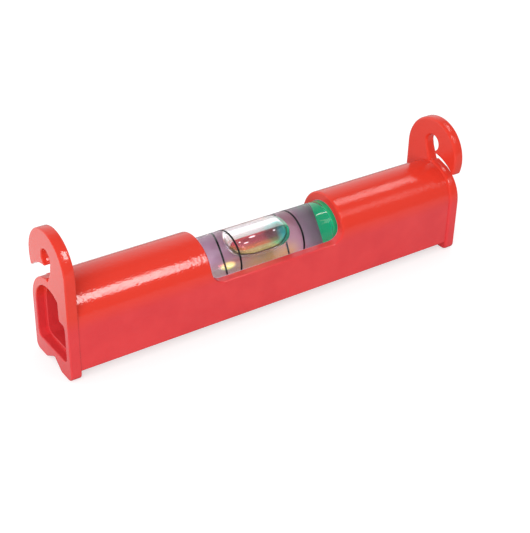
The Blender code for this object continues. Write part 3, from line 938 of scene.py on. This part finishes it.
def ring_tree():
    """Geometry nodes for a printed ring: a flat band round the vial whose edges waver a little."""
    lengths = ("Radius", "Width", "Thickness", "Place", "Height", "Wobble")
    tree, enter, leave = group_of(
        "printed_ring", "GeometryNodeTree",
        [(name, "Float") for name in lengths] + [("Steps", "Int"), ("Seed", "Int"), ("Ink", "Material")],
        [("Geometry", "Geometry")])
    circle = add(tree, "GeometryNodeCurvePrimitiveCircle",
                 {"Radius": enter["Radius"], "Resolution": enter["Steps"]})
    section = add(tree, "GeometryNodeCurvePrimitiveQuadrilateral",
                  {"Width": enter["Thickness"], "Height": enter["Width"]})
    band = add(tree, "GeometryNodeCurveToMesh",
               {"Curve": circle.outputs["Curve"], "Profile Curve": section.outputs["Curve"]})
    noise = add(tree, "ShaderNodeTexNoise", {"W": calc(tree, "MULTIPLY", enter["Seed"], SEED_STEP)},
                {"Scale": WOBBLE_SCALE, "Detail": WOBBLE_DETAIL}, noise_dimensions="4D")
    centred = calc(tree, "SUBTRACT", noise.outputs["Fac"], NOISE_MIDDLE)
    offset = add(tree, "ShaderNodeCombineXYZ", {"Z": calc(tree, "MULTIPLY", centred, enter["Wobble"])})
    uneven = add(tree, "GeometryNodeSetPosition",
                 {"Geometry": band.outputs["Mesh"], "Offset": offset.outputs["Vector"]})
    place = add(tree, "ShaderNodeCombineXYZ", {"X": enter["Place"], "Z": enter["Height"]})
    laid = add(tree, "GeometryNodeTransform",
               {"Geometry": uneven.outputs["Geometry"], "Translation": place.outputs["Vector"]},
               {"Rotation": (0, math.pi / 2, 0)})
    real = add(tree, "GeometryNodeRealizeInstances", {"Geometry": laid.outputs["Geometry"]})
    inked = add(tree, "GeometryNodeSetMaterial",
                {"Geometry": real.outputs["Geometry"], "Material": enter["Ink"]})
    tree.links.new(inked.outputs["Geometry"], leave["Geometry"])
    return tree


def printed_ring(tree, node, ink, seed):
    low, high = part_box(node)
    guide = new_piece(node + "_guide", bpy.data.meshes.new(node))
    modifier = guide.modifiers.new("ring", "NODES")
    modifier.node_group = tree
    sizes = {
        "Radius": VIAL_RADIUS + RING_PROUD - RING_THICKNESS / 2, "Width": RING_WIDTH,
        "Thickness": RING_THICKNESS, "Place": (low[0] + high[0]) / 2, "Height": ARCH_HEIGHT,
        "Wobble": RING_WOBBLE, "Steps": RING_STEPS, "Seed": seed, "Ink": ink}
    for socket in tree.interface.items_tree:
        if socket.in_out == "INPUT":
            modifier[socket.identifier] = sizes[socket.name]
    ring = new_piece("printed_" + node, settled(guide))
    bpy.data.objects.remove(guide)
    mend(ring.data)
    return ring


def mend(mesh):
    """Merge doubles and turn every face outward."""
    shape = bmesh.new()
    shape.from_mesh(mesh)
    bmesh.ops.remove_doubles(shape, verts=shape.verts, dist=RING_MERGE)
    bmesh.ops.recalc_face_normals(shape, faces=shape.faces)
    shape.to_mesh(mesh)
    shape.free()


def smaller(first, second, blend):
    """The smaller of two lengths, with a smooth passage where they are close."""
    least = min(first, second)
    return least - blend * math.log(math.exp((least - first) / blend) + math.exp((least - second) / blend))


def bubble_reach(angle, share):
    """How far the bubble's skin lies from its axis, at an angle, where its section has shrunk to a share."""
    across, up = math.cos(angle), math.sin(angle)
    rise = BUBBLE_CROWN_RISE if up > 0 else BUBBLE_FLOOR_DROP
    power = BUBBLE_SECTION_POWER
    own = (abs(across / BUBBLE_HALF_WIDTH) ** power + abs(up / rise) ** power) ** (-1 / power)
    ceiling = CHAMBER_RADIUS - BUBBLE_FILM
    lean = BUBBLE_AXIS_RISE * up
    wall = -lean + math.sqrt(lean ** 2 + ceiling ** 2 - BUBBLE_AXIS_RISE ** 2)
    return smaller(own * share, wall, BUBBLE_BLEND)


def build_bubble(low, high):
    """Air that lies under the top of the chamber, with round ends and a flattened floor."""
    middle, half = (low + high) / 2, (high - low) / 2
    height = ARCH_HEIGHT + BUBBLE_AXIS_RISE
    shape = bmesh.new()
    rings = [[shape.verts.new((low, 0, height))]]
    for station in range(1, BUBBLE_RINGS):
        along = -half * math.cos(math.pi * station / BUBBLE_RINGS)
        into_end = max(0, (abs(along) - (half - BUBBLE_END)) / BUBBLE_END)
        share = (1 - into_end ** BUBBLE_END_POWER) ** (1 / BUBBLE_END_POWER)
        ring = []
        for step in range(BUBBLE_STEPS):
            angle = 2 * math.pi * step / BUBBLE_STEPS
            reach = max(bubble_reach(angle, share), 0)
            ring.append(shape.verts.new(
                (middle + along, reach * math.cos(angle), height + reach * math.sin(angle))))
        rings.append(ring)
    rings.append([shape.verts.new((high, 0, height))])
    skin(shape, rings)
    return piece_of("air_bubble", shape)


# Studio

def build_camera():
    data = bpy.data.cameras.new("camera")
    data.lens = CAMERA_LENS
    data.sensor_fit = "HORIZONTAL"
    data.sensor_width = SENSOR_WIDTH
    data.clip_start = CLIP_START
    camera = bpy.data.objects.new("camera", data)
    bpy.context.scene.collection.objects.link(camera)
    heading = Matrix.Rotation(math.radians(-CAMERA_HEADING), 4, "Z")
    tilt = Matrix.Rotation(math.radians(90 - CAMERA_TILT), 4, "X")
    roll = Matrix.Rotation(math.radians(CAMERA_ROLL), 4, "Z")
    camera.matrix_world = Matrix.Translation(CAMERA_PLACE) @ heading @ tilt @ roll
    bpy.context.scene.camera = camera


def lamp(name, place, size, power, along):
    """A flat lamp that faces the level; a strip lies along the level's length."""
    data = bpy.data.lights.new(name, "AREA")
    data.shape = "RECTANGLE"
    data.size, data.size_y = size
    data.energy = power
    light = bpy.data.objects.new(name, data)
    bpy.context.scene.collection.objects.link(light)
    light.location = place
    toward = Vector(LAMP_FOCUS) - Vector(place)
    if along:
        toward.x = 0
        tilt = math.atan2(-toward.y, -toward.z)
        light.rotation_euler = (-tilt, 0, 0)
        light.visible_diffuse = False
    else:
        light.rotation_euler = toward.to_track_quat("-Z", "Y").to_euler()
        light.visible_glossy = False
        light.visible_transmission = False


def build_world():
    """A white backdrop behind the level, a darker studio in front of it, and an even ambient light."""
    world = bpy.data.worlds.new("studio")
    bpy.context.scene.world = world
    world.use_nodes = True
    tree = world.node_tree
    background = tree.nodes["Background"]
    path = add(tree, "ShaderNodeLightPath").outputs
    direction = add(tree, "ShaderNodeTexCoord").outputs["Generated"]
    split = add(tree, "ShaderNodeSeparateXYZ", {"Vector": direction})
    ends = {"From Min": DARK_TO, "From Max": DARK_FROM, "To Min": STUDIO_DARK, "To Max": BACKDROP_WHITE}
    mirrored = add(tree, "ShaderNodeMapRange", {"Value": split.outputs["Y"]}, ends,
                   interpolation_type="SMOOTHSTEP").outputs["Result"]
    level = add(tree, "ShaderNodeMix", {"Factor": path["Is Glossy Ray"], "B": mirrored}, {"A": AMBIENT})
    for ray, white in (("Is Camera Ray", BACKDROP_WHITE), ("Is Transmission Ray", THROUGH_WHITE)):
        level = add(tree, "ShaderNodeMix", {"Factor": path[ray], "A": level.outputs["Result"]}, {"B": white})
    tree.links.new(level.outputs["Result"], background.inputs["Strength"])
    background.inputs["Color"].default_value = (1, 1, 1, 1)
    world.cycles.sampling_method = "NONE"


def build_floor():
    shape = bmesh.new()
    bmesh.ops.create_grid(shape, x_segments=1, y_segments=1, size=FLOOR_REACH)
    floor = piece_of("floor", shape)
    material, tree, shader = principled("floor_white")
    shader.inputs["Base Color"].default_value = (FLOOR_COLOUR, FLOOR_COLOUR, FLOOR_COLOUR, 1)
    shader.inputs["Roughness"].default_value = FLOOR_ROUGHNESS
    shader.inputs["Emission Color"].default_value = (1, 1, 1, 1)
    path = add(tree, "ShaderNodeLightPath").outputs
    seen = any_of(tree, path["Is Camera Ray"], path["Is Transmission Ray"])
    glow = both_of(tree, seen, FLOOR_GLOW)
    place = places(tree)
    patch = both_of(tree, rising(tree, place["Y"], *GLEAM_BEHIND), rising(tree, place["X"], *GLEAM_LEFT))
    behind = both_of(tree, patch, FLOOR_GLEAM)
    strength = add(tree, "ShaderNodeMix", {"Factor": path["Is Glossy Ray"], "A": glow, "B": behind})
    tree.links.new(strength.outputs["Result"], shader.inputs["Emission Strength"])
    floor.data.materials.append(material)


def main():
    bpy.context.scene.view_settings.view_transform = "Standard"
    build_camera()
    build_world()
    build_floor()
    for settings in LAMPS:
        lamp(*settings)
    grain, ovals = grain_group(), oval_group()
    build_housing(red_moulding(grain, ovals))
    build_vial(grain, ovals)


main()
